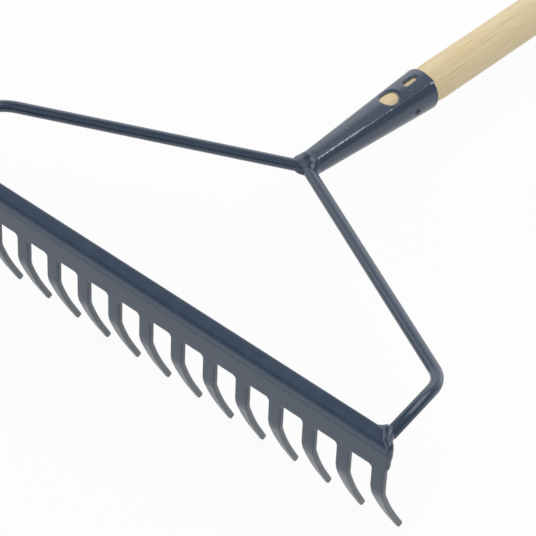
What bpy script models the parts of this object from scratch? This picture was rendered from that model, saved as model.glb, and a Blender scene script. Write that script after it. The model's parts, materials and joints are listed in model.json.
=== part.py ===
"""Garden rake: a toothed steel bar on a bent round bow, with a rolled socket and a wooden shaft.

The rake is drawn flat first. The origin is the point of the bow's V, X runs along the toothed bar,
Y runs along the shaft to its butt, and Z is square to the plane of the bow, teeth down. A parent
empty then lays the whole rake on the floor, on its tooth tips and the edge of the butt.
"""
import math

import bpy
import bmesh
from mathutils import Matrix, Vector

MM = 0.001

# Clearances between touching pieces
FIT_GAP = 0.3 * MM
RIVET_RECESS = 0.6 * MM
SHAFT_CLEARANCE = 0.6 * MM

# Bow rod
ROD_DIAMETER = 8.2 * MM
BOW_HALF_WIDTH = 195.0 * MM
BOW_DEPTH = 96.7 * MM
LEFT_BEND_RADIUS = 33.0 * MM
RIGHT_BEND_RADIUS = 20.0 * MM
NECK_BEND_RADIUS = 11.0 * MM
LEG_END_X = 203.4 * MM

# Toothed bar
BAR_THICKNESS = 4.1 * MM
FLANGE_EDGE_Y = -154.0 * MM
FLANGE_EDGE_Z = 1.9 * MM
FLANGE_LENGTH = 12.5 * MM
FLANGE_SLOPE = math.radians(17.3)
RIDGE_RADIUS = 6.0 * MM
PLATE_HEIGHT = 17.5 * MM
FLANGE_CORNER_CUT = 8.5 * MM

# Teeth
TOOTH_COUNT = 16
TOOTH_PITCH = 27.4 * MM
TOOTH_WIDTH = 10.0 * MM
TOOTH_TIP_WIDTH = 3.5 * MM
TOOTH_STRAIGHT = 16.3 * MM
TOOTH_BEND_RADIUS = 22.0 * MM
TOOTH_BEND_ANGLE = math.radians(21.0)
TOOTH_SWEEP_RADIUS = 205.0 * MM
TOOTH_SWEEP_ANGLE = math.radians(8.8)
TOOTH_TIP_LENGTH = 13.7 * MM
GAP_CORNER_RADIUS = 2.5 * MM
END_MARGIN = 0.8 * MM
END_SHOULDER_DROP = 10.0 * MM
END_SHOULDER_HEIGHT = 10.0 * MM
END_TOOTH_SPLAY = 0.9 * MM
END_TOOTH_CURL = 2.0 * MM

# Socket
SOCKET_LENGTH = 113.0 * MM
SOCKET_MOUTH_DIAMETER = 30.4 * MM
SOCKET_NECK_DIAMETER = 17.4 * MM
SOCKET_WALL = 1.5 * MM
SEAM_ANGLE = math.radians(43.0)
SEAM_GAP = 0.6 * MM
SEAM_LIP = 0.9 * MM
SEAM_LIP_SPAN = math.radians(24.0)
ROUND_HOLE_DIAMETER = 14.6 * MM
ROUND_HOLE_FROM_MOUTH = 35.4 * MM
ROUND_HOLE_ANGLE = math.radians(0.0)
SLOT_LENGTH = 13.6 * MM
SLOT_WIDTH = 5.4 * MM
SLOT_FROM_MOUTH = 13.2 * MM
SLOT_ANGLE = math.radians(-1.0)

# Shaft
SHAFT_DIAMETER = 27.5 * MM
SHAFT_LENGTH = 1400.0 * MM
SHAFT_INSERT = 92.0 * MM
BUTT_EDGE_RADIUS = 5.0 * MM

# The handle, that is socket, shaft and rivet, sits and leans a little above the plane of the bow
HANDLE_TILT = math.radians(0.8)
HANDLE_RISE = 0.6 * MM

# Rivet
RIVET_DIAMETER = 4.4 * MM
RIVET_FROM_MOUTH = 20.2 * MM
RIVET_CHAMFER = 0.5 * MM
RIVET_TILT = math.radians(4.5)

# Welds
NECK_WELD_WIDTH = 18.8 * MM
NECK_WELD_LENGTH = 20.0 * MM
NECK_WELD_HEIGHT = 17.8 * MM
NECK_WELD_SHIFT = 1.4 * MM

# The end welds are drops of metal, each given in millimetres by its centre and its half sizes. The
# first group is placed from the leg's end and the flange edge, the second from the bar's end and ridge.
DROPS_AT_ROD = (
    ((-5.0, 0.0, 0.2), (5.6, 2.2, 2.2)),
    ((-1.8, 0.6, 1.4), (4.8, 3.2, 3.4)),
    ((0.6, -2.6, 0.4), (4.2, 3.4, 2.9)),
    ((2.6, -5.4, 0.2), (3.4, 3.2, 2.5)),
    ((5.4, -7.2, -0.6), (3.0, 2.8, 2.6)),
)
DROPS_AT_BAR_END = (
    ((-0.8, 3.6, -1.2), (2.0, 2.9, 4.2)),
    ((-0.6, 2.9, -5.4), (2.0, 3.1, 5.6)),
    ((-0.6, 2.5, -12.0), (1.6, 2.5, 5.4)),
)
DROP_ROWS = 9
DROP_SIDES = 14

# Mesh fineness
ROD_SIDES = 24
ROUND_SIDES = 48
ARC_STEP = math.radians(6.0)

# Sizes that follow from the ones above
ROD_RADIUS = ROD_DIAMETER / 2
BAR_HALF_LENGTH = (TOOTH_COUNT - 1) / 2 * TOOTH_PITCH + TOOTH_WIDTH / 2 + END_MARGIN
RIDGE_Y = FLANGE_EDGE_Y - FLANGE_LENGTH * math.cos(FLANGE_SLOPE)
RIDGE_Z = FLANGE_EDGE_Z - FLANGE_LENGTH * math.sin(FLANGE_SLOPE)
GAP_ROOT_Z = RIDGE_Z - PLATE_HEIGHT
ARM_ANGLE = math.atan2(BOW_DEPTH, BOW_HALF_WIDTH)
NECK_APEX_Y = -NECK_BEND_RADIUS * (1 / math.cos(ARM_ANGLE) - 1)
SOCKET_NECK_Y = NECK_APEX_Y + ROD_RADIUS + 1.5 * MM
SOCKET_MOUTH_Y = SOCKET_NECK_Y + SOCKET_LENGTH
SHAFT_INNER_Y = SOCKET_MOUTH_Y - SHAFT_INSERT
SHAFT_BUTT_Y = SHAFT_INNER_Y + SHAFT_LENGTH


def clear_scene():
    for item in list(bpy.data.objects):
        bpy.data.objects.remove(item, do_unlink=True)


def make_material(name, color, roughness, metallic):
    material = bpy.data.materials.new(name)
    material.use_nodes = True
    shader = material.node_tree.nodes["Principled BSDF"]
    shader.inputs["Base Color"].default_value = (*color, 1.0)
    shader.inputs["Roughness"].default_value = roughness
    shader.inputs["Metallic"].default_value = metallic
    return material


def add_object(name, verts, faces, material=None):
    """One object from points and faces, with all faces turned to point out."""
    mesh = bpy.data.meshes.new(name)
    mesh.from_pydata([tuple(v) for v in verts], [], faces)
    work = bmesh.new()
    work.from_mesh(mesh)
    bmesh.ops.recalc_face_normals(work, faces=work.faces)
    work.to_mesh(mesh)
    work.free()
    if material is not None:
        mesh.materials.append(material)
    mesh.shade_smooth()
    mesh.set_sharp_from_angle(angle=math.radians(35))
    item = bpy.data.objects.new(name, mesh)
    bpy.context.scene.collection.objects.link(item)
    return item


def make_cutter(item):
    item.hide_render = True
    item.display_type = "WIRE"
    return item


def cut(target, cutter, operation="DIFFERENCE"):
    modifier = target.modifiers.new(cutter.name, "BOOLEAN")
    modifier.operation = operation
    modifier.solver = "EXACT"
    modifier.object = cutter


def apply_cuts(item):
    """Bakes an object's modifiers into its mesh, so that its points can be moved afterwards."""
    graph = bpy.context.evaluated_depsgraph_get()
    mesh = bpy.data.meshes.new_from_object(item.evaluated_get(graph))
    item.modifiers.clear()
    item.data = mesh


def join_rings(rings, closed_ends=True):
    """Points and faces of a tube through rings of equal length."""
    count = len(rings[0])
    verts = [point for ring in rings for point in ring]
    faces = []
    for r in range(len(rings) - 1):
        for i in range(count):
            j = (i + 1) % count
            faces.append((r * count + i, r * count + j, (r + 1) * count + j, (r + 1) * count + i))
    if closed_ends:
        faces.append(tuple(range(count)))
        faces.append(tuple(range((len(rings) - 1) * count, len(rings) * count)))
    return verts, faces


def prism_along_x(outline, x_low, x_high):
    """A closed outline of (y, z) points, drawn out along X."""
    rings = [[Vector((x, y, z)) for y, z in outline] for x in (x_low, x_high)]
    return join_rings(rings)


def prism_along_y(outline, y_low, y_high):
    """A closed outline of (x, z) points, drawn out along Y."""
    rings = [[Vector((x, y, z)) for x, z in outline] for y in (y_low, y_high)]
    return join_rings(rings)


def turned(profile, sides):
    """A solid turned round the Y axis from (y, radius) points, with flat ends."""
    rings = []
    for y, radius in profile:
        ring = []
        for i in range(sides):
            angle = 2 * math.pi * i / sides
            ring.append(Vector((radius * math.sin(angle), y, radius * math.cos(angle))))
        rings.append(ring)
    return join_rings(rings)


def rounded_corner(before, corner, after, radius):
    """Points of the arc that replaces a corner between two straight runs."""
    run_in = (before - corner).normalized()
    run_out = (after - corner).normalized()
    turn = math.pi - run_in.angle(run_out)
    reach = radius * math.tan(turn / 2)
    start = corner + run_in * reach
    centre = corner + (run_in + run_out).normalized() * (radius / math.cos(turn / 2))
    axis = run_out.cross(run_in).normalized()
    steps = max(2, math.ceil(turn / ARC_STEP))
    spoke = start - centre
    return [centre + Matrix.Rotation(turn * i / steps, 3, axis) @ spoke for i in range(steps + 1)]


def tube_along(path, radii, sides, end_planes=None):
    """A round tube through points in space. end_planes squares the end rings to a given direction."""
    rings = []
    side_hint = Vector((0, 0, 1))
    for i, point in enumerate(path):
        ahead = path[min(i + 1, len(path) - 1)] - point
        behind = point - path[max(i - 1, 0)]
        forward = (ahead.normalized() + behind.normalized()).normalized()
        across = side_hint.cross(forward)
        if across.length < 0.2:
            across = Vector((1, 0, 0)).cross(forward)
        across.normalize()
        upright = forward.cross(across).normalized()
        widen = 1 / max(0.5, math.cos(ahead.angle(behind) / 2)) if ahead.length and behind.length else 1
        ring = []
        for s in range(sides):
            angle = 2 * math.pi * s / sides
            ring.append(point + across * (radii[i] * widen * math.cos(angle))
                        + upright * (radii[i] * math.sin(angle)))
        if end_planes is not None and i in (0, len(path) - 1):
            ring = [p - forward * ((p - point).dot(end_planes) / forward.dot(end_planes)) for p in ring]
        rings.append(ring)
    return join_rings(rings)


def bar_section(grow=0.0):
    """Outline of flange, bend, plate and tooth in (y, z), drawn from its outer face.

    The heading turns one way only: forward along the flange, down the plate, then back toward the
    shaft. grow moves every face outward.
    """
    runs = (
        (FLANGE_LENGTH - RIDGE_RADIUS * math.tan((math.pi / 2 - FLANGE_SLOPE) / 2), 0.0, 0.0),
        (0.0, RIDGE_RADIUS, math.pi / 2 - FLANGE_SLOPE),
        (PLATE_HEIGHT - RIDGE_RADIUS * math.tan((math.pi / 2 - FLANGE_SLOPE) / 2)
         + TOOTH_STRAIGHT, 0.0, 0.0),
        (0.0, TOOTH_BEND_RADIUS, TOOTH_BEND_ANGLE),
        (0.0, TOOTH_SWEEP_RADIUS, TOOTH_SWEEP_ANGLE),
        (TOOTH_TIP_LENGTH, 0.0, 0.0),
    )
    heading = FLANGE_SLOPE
    point = Vector((FLANGE_EDGE_Y, FLANGE_EDGE_Z))
    line = [(point.copy(), heading)]
    for length, radius, turn in runs:
        steps = max(1, math.ceil(turn / ARC_STEP))
        for _ in range(steps):
            chord = length if radius == 0.0 else 2 * radius * math.sin(turn / steps / 2)
            middle = heading + turn / steps / 2
            point = point + Vector((-math.cos(middle), -math.sin(middle))) * chord
            heading += turn / steps
            line.append((point.copy(), heading))
    outer, inner = [], []
    for index, (place, angle) in enumerate(line):
        normal = Vector((-math.sin(angle), math.cos(angle)))
        along = Vector((-math.cos(angle), -math.sin(angle)))
        shift = -grow if index == 0 else grow if index == len(line) - 1 else 0.0
        outer.append(place + normal * grow + along * shift)
        inner.append(place - normal * (BAR_THICKNESS + grow) + along * shift)
    return outer + inner[::-1]


def bar_blank(name, grow=0.0):
    section = bar_section(grow)
    half = BAR_HALF_LENGTH + grow
    verts, faces = prism_along_x(section, -half, half)
    item = add_object(name, verts, faces)
    for side in (-1, 1):
        corner = side * (BAR_HALF_LENGTH - FLANGE_CORNER_CUT + grow)
        far = side * (BAR_HALF_LENGTH + FLANGE_CORNER_CUT)
        ridge = RIDGE_Y + RIDGE_RADIUS / 2
        slope = (FLANGE_EDGE_Y - ridge) / FLANGE_CORNER_CUT
        outline = [
            Vector((corner, FLANGE_EDGE_Y + 2 * BAR_THICKNESS)),
            Vector((corner, FLANGE_EDGE_Y + BAR_THICKNESS / 2)),
            Vector((side * (BAR_HALF_LENGTH + grow), ridge)),
            Vector((far, ridge - slope * FLANGE_CORNER_CUT)),
            Vector((far, FLANGE_EDGE_Y + 2 * BAR_THICKNESS)),
        ]
        rings = [[Vector((p.x, p.y, z)) for p in outline] for z in (GAP_ROOT_Z / 1.5, 4 * BAR_THICKNESS)]
        cutter_verts, cutter_faces = join_rings(rings)
        cutter = make_cutter(add_object(f"{name}_corner_cut_{side + 1}", cutter_verts, cutter_faces))
        cut(item, cutter)
    return item


def gap_outline(x_low, x_high, bottom):
    """Front view of one gap between teeth: square bottom past the tips, round top corners."""
    corners = [Vector((x_low, 0, bottom)), Vector((x_low, 0, GAP_ROOT_Z)),
               Vector((x_high, 0, GAP_ROOT_Z)), Vector((x_high, 0, bottom))]
    left = rounded_corner(corners[0], corners[1], corners[2], GAP_CORNER_RADIUS)
    right = rounded_corner(corners[1], corners[2], corners[3], GAP_CORNER_RADIUS)
    points = [corners[0]] + left + right + [corners[3]]
    return [(p.x, p.z) for p in points]


def tip_edge():
    """Place of the lowest edge of a tooth tip, as (y, z)."""
    section = bar_section()
    return section[len(section) // 2 - 1]


def make_toothed_bar(paint):
    item = bar_blank("toothed_bar")
    tip_y, tip_z = tip_edge()
    bottom = tip_z - 2 * BAR_THICKNESS
    front, back = RIDGE_Y - 2 * BAR_THICKNESS, tip_y + 4 * BAR_THICKNESS
    verts, faces = [], []
    first = -(TOOTH_COUNT - 1) / 2
    for k in range(TOOTH_COUNT - 1):
        x_low = (first + k) * TOOTH_PITCH + TOOTH_WIDTH / 2
        x_high = (first + k + 1) * TOOTH_PITCH - TOOTH_WIDTH / 2
        gap_verts, gap_faces = prism_along_y(gap_outline(x_low, x_high, bottom), front, back)
        faces += [tuple(i + len(verts) for i in face) for face in gap_faces]
        verts += gap_verts
    cut(item, make_cutter(add_object("tooth_gaps", verts, faces)))
    tooth_edge = BAR_HALF_LENGTH - END_MARGIN
    shoulder = RIDGE_Z - END_SHOULDER_DROP
    for side in (-1, 1):
        outline = [(side * BAR_HALF_LENGTH, shoulder),
                   (side * tooth_edge, shoulder - END_SHOULDER_HEIGHT),
                   (side * tooth_edge, bottom),
                   (side * (BAR_HALF_LENGTH + END_MARGIN), bottom),
                   (side * (BAR_HALF_LENGTH + END_MARGIN), shoulder)]
        verts, faces = prism_along_y(outline, front, back)
        cut(item, make_cutter(add_object(f"end_shoulder_{side + 1}", verts, faces)))
    apply_cuts(item)
    point_teeth(item.data)
    item.data.materials.append(paint)
    item.data.shade_smooth()
    item.data.set_sharp_from_angle(angle=math.radians(35))
    return item


def point_teeth(mesh):
    """Narrows every tooth from its bend to its tip, and lets the two outer teeth stray a little."""
    start = GAP_ROOT_Z - TOOTH_STRAIGHT
    length = start - tip_edge()[1]
    first = -(TOOTH_COUNT - 1) / 2
    for vertex in mesh.vertices:
        share = min(1.0, (start - vertex.co.z) / length)
        if share <= 0.0:
            continue
        k = round(vertex.co.x / TOOTH_PITCH - first)
        middle = (first + k) * TOOTH_PITCH
        narrow = 1.0 - share * (1.0 - TOOTH_TIP_WIDTH / TOOTH_WIDTH)
        vertex.co.x = middle + (vertex.co.x - middle) * narrow
        if k in (0, TOOTH_COUNT - 1):
            vertex.co.x += math.copysign(END_TOOTH_SPLAY * share, middle)
            vertex.co.y += END_TOOTH_CURL * share


def bow_path(end_y):
    """Centre line of the bow rod in the plane z = 0, from the left leg's end to the right one's."""
    right = [Vector((BOW_HALF_WIDTH, -BOW_DEPTH, 0)), Vector((LEG_END_X, end_y, 0))]
    left = [Vector((-p.x, p.y, 0)) for p in right]
    corners = [left[1], left[0], Vector((0, 0, 0)), right[0], right[1]]
    path = [corners[0]]
    path += rounded_corner(corners[0], corners[1], corners[2], LEFT_BEND_RADIUS)
    path += rounded_corner(corners[1], corners[2], corners[3], NECK_BEND_RADIUS)
    path += rounded_corner(corners[2], corners[3], corners[4], RIGHT_BEND_RADIUS)
    path.append(corners[4])
    return path


def bow_solid(name, grow, end_reach, material=None):
    """The bow rod, or a thicker copy of it whose legs reach on into the bar."""
    edge = FLANGE_EDGE_Y + BAR_THICKNESS * math.sin(FLANGE_SLOPE) + FIT_GAP
    path = bow_path(edge - end_reach)
    verts, faces = tube_along(path, [ROD_RADIUS + grow] * len(path), ROD_SIDES, Vector((0, 1, 0)))
    return add_object(name, verts, faces, material)


def socket_radius(y):
    """Outer radius of the socket at a place along the shaft."""
    share = (y - SOCKET_NECK_Y) / SOCKET_LENGTH
    return (SOCKET_NECK_DIAMETER + (SOCKET_MOUTH_DIAMETER - SOCKET_NECK_DIAMETER) * share) / 2


def around(radius, angle, y):
    """A point at an angle from the top of the shaft, turning toward +X."""
    return Vector((radius * math.sin(angle), y, radius * math.cos(angle)))


def radial_cutter(name, length, width, y, angle, low, high):
    """A round or stadium-shaped punch that goes through one wall of the socket."""
    reach = (length - width) / 2
    outline = []
    for end in (1, -1):
        for i in range(ROUND_SIDES // 4 + 1):
            turn = math.pi * i / (ROUND_SIDES // 4) - math.pi / 2
            along = end * (reach + width / 2 * math.cos(turn))
            outline.append((along, end * width / 2 * math.sin(turn)))
    tangent = Vector((math.cos(angle), 0, -math.sin(angle)))
    rings = []
    for radius in (low, high):
        base = around(radius, angle, y)
        rings.append([base + Vector((0, a, 0)) + tangent * c for a, c in outline])
    verts, faces = join_rings(rings)
    work = bmesh.new()
    made = [work.verts.new(v) for v in verts]
    for face in faces:
        work.faces.new([made[i] for i in face])
    bmesh.ops.remove_doubles(work, verts=work.verts, dist=0.01 * MM)
    bmesh.ops.recalc_face_normals(work, faces=work.faces)
    mesh = bpy.data.meshes.new(name)
    work.to_mesh(mesh)
    work.free()
    item = bpy.data.objects.new(name, mesh)
    bpy.context.scene.collection.objects.link(item)
    return make_cutter(item)


def make_socket(paint):
    """A tapered tube of sheet that stays open along its seam, with one edge standing proud."""
    rings = []
    for y in (SOCKET_NECK_Y, SOCKET_MOUTH_Y):
        radius = socket_radius(y)
        half_gap = SEAM_GAP / 2 / radius
        start = SEAM_ANGLE + half_gap
        sweep = 2 * math.pi - 2 * half_gap
        outer, inner = [], []
        for i in range(ROUND_SIDES + 1):
            angle = start + sweep * i / ROUND_SIDES
            into_lip = max(0.0, (angle - start - sweep + SEAM_LIP_SPAN) / SEAM_LIP_SPAN)
            rise = SEAM_LIP * into_lip * into_lip * (3 - 2 * into_lip)
            outer.append(around(radius + rise, angle, y))
            inner.append(around(radius + rise - SOCKET_WALL, angle, y))
        rings.append(outer + inner[::-1])
    count = len(rings[0])
    verts, faces = join_rings(rings, closed_ends=False)
    for base in (0, count):
        for i in range(ROUND_SIDES):
            faces.append((base + i, base + i + 1, base + count - 2 - i, base + count - 1 - i))
    item = add_object("socket", verts, faces, paint)
    low = SOCKET_NECK_DIAMETER / 4
    high = SOCKET_MOUTH_DIAMETER
    cut(item, radial_cutter("round_hole", ROUND_HOLE_DIAMETER, ROUND_HOLE_DIAMETER,
                            SOCKET_MOUTH_Y - ROUND_HOLE_FROM_MOUTH, ROUND_HOLE_ANGLE, low, high))
    cut(item, radial_cutter("slot", SLOT_LENGTH, SLOT_WIDTH,
                            SOCKET_MOUTH_Y - SLOT_FROM_MOUTH, SLOT_ANGLE, low, high))
    return item


def make_shaft(wood):
    """Turned shaft: tapered to fit the socket, parallel outside it, with a rounded butt edge."""
    inside = SOCKET_WALL + SHAFT_CLEARANCE
    full = SHAFT_DIAMETER / 2
    mouth = min(full, socket_radius(SOCKET_MOUTH_Y) - inside)
    profile = [(SHAFT_INNER_Y, socket_radius(SHAFT_INNER_Y) - inside),
               (SOCKET_MOUTH_Y, mouth),
               (SOCKET_MOUTH_Y + full, full)]
    steps = 5
    for i in range(steps + 1):
        angle = math.pi / 2 * i / steps
        profile.append((SHAFT_BUTT_Y - BUTT_EDGE_RADIUS * (1 - math.sin(angle)),
                        full - BUTT_EDGE_RADIUS * (1 - math.cos(angle))))
    verts, faces = turned(profile, ROUND_SIDES)
    return add_object("shaft", verts, faces, wood)


def cross_pin(name, radius, half_length, chamfer, material=None):
    """A pin across socket and shaft, its right end a little lower than its left."""
    tilt = Matrix.Rotation(RIVET_TILT, 3, "Y")
    y = SOCKET_MOUTH_Y - RIVET_FROM_MOUTH
    rings = []
    for x, r in ((-half_length, radius - chamfer), (-half_length + chamfer, radius),
                 (half_length - chamfer, radius), (half_length, radius - chamfer)):
        ring = []
        for i in range(ROD_SIDES):
            angle = 2 * math.pi * i / ROD_SIDES
            ring.append(tilt @ Vector((x, y + r * math.cos(angle), r * math.sin(angle))))
        rings.append(ring)
    verts, faces = join_rings(rings)
    return add_object(name, verts, faces, material)


def make_rivet(steel, socket, shaft):
    y = SOCKET_MOUTH_Y - RIVET_FROM_MOUTH
    item = cross_pin("rivet", RIVET_DIAMETER / 2, socket_radius(y) - RIVET_RECESS, RIVET_CHAMFER, steel)
    bore = cross_pin("rivet_bore", RIVET_DIAMETER / 2 + FIT_GAP, SOCKET_MOUTH_DIAMETER, 0.0)
    make_cutter(bore)
    cut(socket, bore)
    cut(shaft, bore)
    return item


def lump(name, centre, half_sizes, rows, sides, material=None):
    """A rounded drop of weld metal."""
    rings = []
    for r in range(1, rows):
        polar = math.pi * r / rows
        ring = []
        for s in range(sides):
            turn = 2 * math.pi * s / sides
            ring.append(Vector((centre[0] + half_sizes[0] * math.sin(polar) * math.cos(turn),
                                centre[1] - half_sizes[1] * math.cos(polar),
                                centre[2] + half_sizes[2] * math.sin(polar) * math.sin(turn))))
        rings.append(ring)
    verts, faces = join_rings(rings)
    return add_object(name, verts, faces, material)


def set_handle_angle(item):
    item.rotation_euler = (HANDLE_TILT, 0, 0)
    item.location = (0, 0, HANDLE_RISE)


def make_neck_weld(paint, rod_room):
    """Weld metal between the V of the rod and the narrow end of the socket, fuller on the left."""
    centre = (-NECK_WELD_SHIFT, SOCKET_NECK_Y, 0)
    item = lump("neck_weld", centre, (NECK_WELD_WIDTH / 2, NECK_WELD_LENGTH / 2, NECK_WELD_HEIGHT / 2),
                14, 32, paint)
    profile = [(y, socket_radius(y) + FIT_GAP) for y in (SOCKET_NECK_Y - FIT_GAP, SOCKET_MOUTH_Y)]
    verts, faces = turned(profile, ROUND_SIDES)
    socket_room = make_cutter(add_object("socket_room", verts, faces))
    set_handle_angle(socket_room)
    cut(item, socket_room)
    cut(item, rod_room)
    return item


def make_end_weld(name, side, paint, rod_room, bar_room):
    """Overlapping drops of weld: beside the rod, over its end, and down the end of the bar."""
    at_rod = Vector((LEG_END_X, FLANGE_EDGE_Y, 0))
    at_bar_end = Vector((BAR_HALF_LENGTH, RIDGE_Y, RIDGE_Z))
    drops = [(at_rod, *drop) for drop in DROPS_AT_ROD] + [(at_bar_end, *drop) for drop in DROPS_AT_BAR_END]
    item = None
    for index, (base, offset, half_sizes) in enumerate(drops):
        centre = base + Vector(offset) * MM
        centre.x *= side
        sizes = [size * MM for size in half_sizes]
        if item is None:
            item = lump(name, centre, sizes, DROP_ROWS, DROP_SIDES, paint)
        else:
            drop = make_cutter(lump(f"{name}_drop_{index}", centre, sizes, DROP_ROWS, DROP_SIDES))
            cut(item, drop, "UNION")
    cut(item, rod_room)
    cut(item, bar_room)
    return item


def lay_on_floor(pieces):
    """Tips the rake until tooth tips and butt are level, and centres it over the origin."""
    tip_y, tip_z = tip_edge()
    butt_edge = Vector((0, SHAFT_BUTT_Y - BUTT_EDGE_RADIUS, BUTT_EDGE_RADIUS - SHAFT_DIAMETER / 2))
    butt_edge = Matrix.Rotation(HANDLE_TILT, 3, "X") @ butt_edge + Vector((0, 0, HANDLE_RISE))
    run, rise = butt_edge.y - tip_y, butt_edge.z - tip_z
    tilt = math.atan2(rise, run) - math.asin(BUTT_EDGE_RADIUS / math.hypot(run, rise))
    turn = Matrix.Rotation(-tilt, 4, "X")
    points = [turn @ piece.matrix_basis @ v.co for piece in pieces for v in piece.data.vertices]
    low_y, high_y = min(p.y for p in points), max(p.y for p in points)
    root = bpy.data.objects.new("rake", None)
    bpy.context.scene.collection.objects.link(root)
    root.rotation_euler = (-tilt, 0, 0)
    root.location = (0, -(low_y + high_y) / 2, -min(p.z for p in points))
    for item in bpy.data.objects:
        if item != root:
            item.parent = root


def build():
    clear_scene()
    navy = (0.035, 0.052, 0.082)
    bar_paint = make_material("bar paint", navy, 0.32, 0.0)
    rod_paint = make_material("bow paint", navy, 0.30, 0.0)
    socket_paint = make_material("socket paint", navy, 0.28, 0.0)
    weld_paint = make_material("weld paint", navy, 0.35, 0.0)
    rivet_steel = make_material("rivet steel", (0.05, 0.055, 0.065), 0.45, 0.6)
    wood = make_material("ash wood", (0.69, 0.53, 0.31), 0.5, 0.0)

    bar = make_toothed_bar(bar_paint)
    rod = bow_solid("bow_rod", 0.0, 0.0, rod_paint)
    socket = make_socket(socket_paint)
    shaft = make_shaft(wood)
    rivet = make_rivet(rivet_steel, socket, shaft)
    handle_cutters = [modifier.object for modifier in socket.modifiers]
    for item in [socket, shaft, rivet] + handle_cutters:
        set_handle_angle(item)
    rod_room = make_cutter(bow_solid("rod_room", FIT_GAP, BAR_THICKNESS / 2))
    bar_room = bar_blank("bar_room", FIT_GAP)
    apply_cuts(bar_room)
    make_cutter(bar_room)
    neck_weld = make_neck_weld(weld_paint, rod_room)
    end_welds = [make_end_weld(name, side, weld_paint, rod_room, bar_room)
                 for name, side in (("left_end_weld", -1), ("right_end_weld", 1))]
    lay_on_floor([bar, rod, socket, shaft, rivet, neck_weld] + end_welds)


build()
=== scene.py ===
import json
import math

import bmesh
import bpy
import numpy as np
from mathutils import Matrix, Vector, noise


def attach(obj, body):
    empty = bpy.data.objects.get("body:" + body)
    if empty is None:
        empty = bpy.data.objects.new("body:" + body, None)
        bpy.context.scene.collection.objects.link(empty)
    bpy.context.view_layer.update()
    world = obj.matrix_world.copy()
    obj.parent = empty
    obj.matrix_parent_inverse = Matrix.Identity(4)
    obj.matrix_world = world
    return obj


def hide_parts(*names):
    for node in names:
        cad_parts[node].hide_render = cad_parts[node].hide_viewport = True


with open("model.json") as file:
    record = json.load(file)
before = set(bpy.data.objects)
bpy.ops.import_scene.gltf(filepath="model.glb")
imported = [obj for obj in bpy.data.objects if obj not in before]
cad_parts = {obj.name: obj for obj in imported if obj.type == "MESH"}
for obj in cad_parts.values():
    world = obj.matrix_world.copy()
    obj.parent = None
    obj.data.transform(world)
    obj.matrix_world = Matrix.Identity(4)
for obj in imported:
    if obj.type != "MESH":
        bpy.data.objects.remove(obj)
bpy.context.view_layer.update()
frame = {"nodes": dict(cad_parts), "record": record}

# The toothed bar
# One strip of thick steel, blanked with its sixteen teeth in a single stroke, folded along the top
# into a flange and bent back at the teeth. It is dipped or sprayed with dark blue enamel.
MM = 0.001
MOUNTS = {mount["name"]: mount for mount in frame["record"]["mounts"]}

BAR_THICKNESS = 4.1
BAR_EDGE_ROUND = 1.1
FLANGE_EDGE_Y = -154.0
FLANGE_EDGE_Z = 1.9
FLANGE_LENGTH = 12.5
FLANGE_SLOPE = math.radians(17.3)
FLANGE_CORNER_CUT = 8.5
FLAT_FACE_WEIGHT = 80
RIDGE_RADIUS = 6.0
PLATE_HEIGHT = 17.5
TOOTH_COUNT = 16
TOOTH_PITCH = 27.4
TOOTH_WIDTH = 10.0
TOOTH_TIP_WIDTH = 3.5
TOOTH_STRAIGHT = 16.3
TOOTH_BEND_RADIUS = 22.0
TOOTH_BEND_ANGLE = math.radians(21.0)
TOOTH_SWEEP_RADIUS = 205.0
TOOTH_SWEEP_ANGLE = math.radians(8.8)
TOOTH_TIP_LENGTH = 13.7
TIP_CORNER_ROUND = 0.4
GAP_CORNER_RADIUS = 2.5
END_MARGIN = 0.8
END_SHOULDER_DROP = 10.0
END_TOOTH_SPLAY = 0.9
END_TOOTH_CURL = 2.0

FOLD_TURN = math.pi / 2 - FLANGE_SLOPE
FOLD_SETBACK = RIDGE_RADIUS * math.tan(FOLD_TURN / 2)
RIDGE_Y = FLANGE_EDGE_Y - FLANGE_LENGTH * math.cos(FLANGE_SLOPE)
RIDGE_Z = FLANGE_EDGE_Z - FLANGE_LENGTH * math.sin(FLANGE_SLOPE)
BAR_HALF_LENGTH = (TOOTH_COUNT - 1) / 2 * TOOTH_PITCH + TOOTH_WIDTH / 2 + END_MARGIN

# Lengths along the outer face of the strip, each with the radius it is bent to
FLANGE_FLAT = FLANGE_LENGTH - FOLD_SETBACK
FOLD_ARC = RIDGE_RADIUS * FOLD_TURN
PLATE_FLAT = PLATE_HEIGHT - FOLD_SETBACK
BEND_ARC = TOOTH_BEND_RADIUS * TOOTH_BEND_ANGLE
SWEEP_ARC = TOOTH_SWEEP_RADIUS * TOOTH_SWEEP_ANGLE
STRIP_RUNS = (
    (FLANGE_FLAT, None),
    (FOLD_ARC, RIDGE_RADIUS),
    (PLATE_FLAT + TOOTH_STRAIGHT, None),
    (BEND_ARC, TOOTH_BEND_RADIUS),
    (SWEEP_ARC, TOOTH_SWEEP_RADIUS),
    (TOOTH_TIP_LENGTH, None),
)
GAP_ROOT = FLANGE_FLAT + FOLD_ARC + PLATE_FLAT
TAPER_START = GAP_ROOT + TOOTH_STRAIGHT
STRIP_LENGTH = sum(run[0] for run in STRIP_RUNS)


def axes_along(direction, origin):
    """Axes with Y along a direction square to the world's X, which stays their X."""
    across = Vector((1, 0, 0))
    ahead = Vector(direction).normalized()
    axes = Matrix((across, ahead, across.cross(ahead))).transposed().to_4x4()
    axes.translation = origin
    return axes


def corners_in(node, axes):
    """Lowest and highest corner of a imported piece, measured along the given axes, in millimetres."""
    inverse = axes.inverted()
    points = np.array([inverse @ v.co for v in frame["nodes"][node].data.vertices]) / MM
    return Vector(points.min(0)), Vector(points.max(0))


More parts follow.
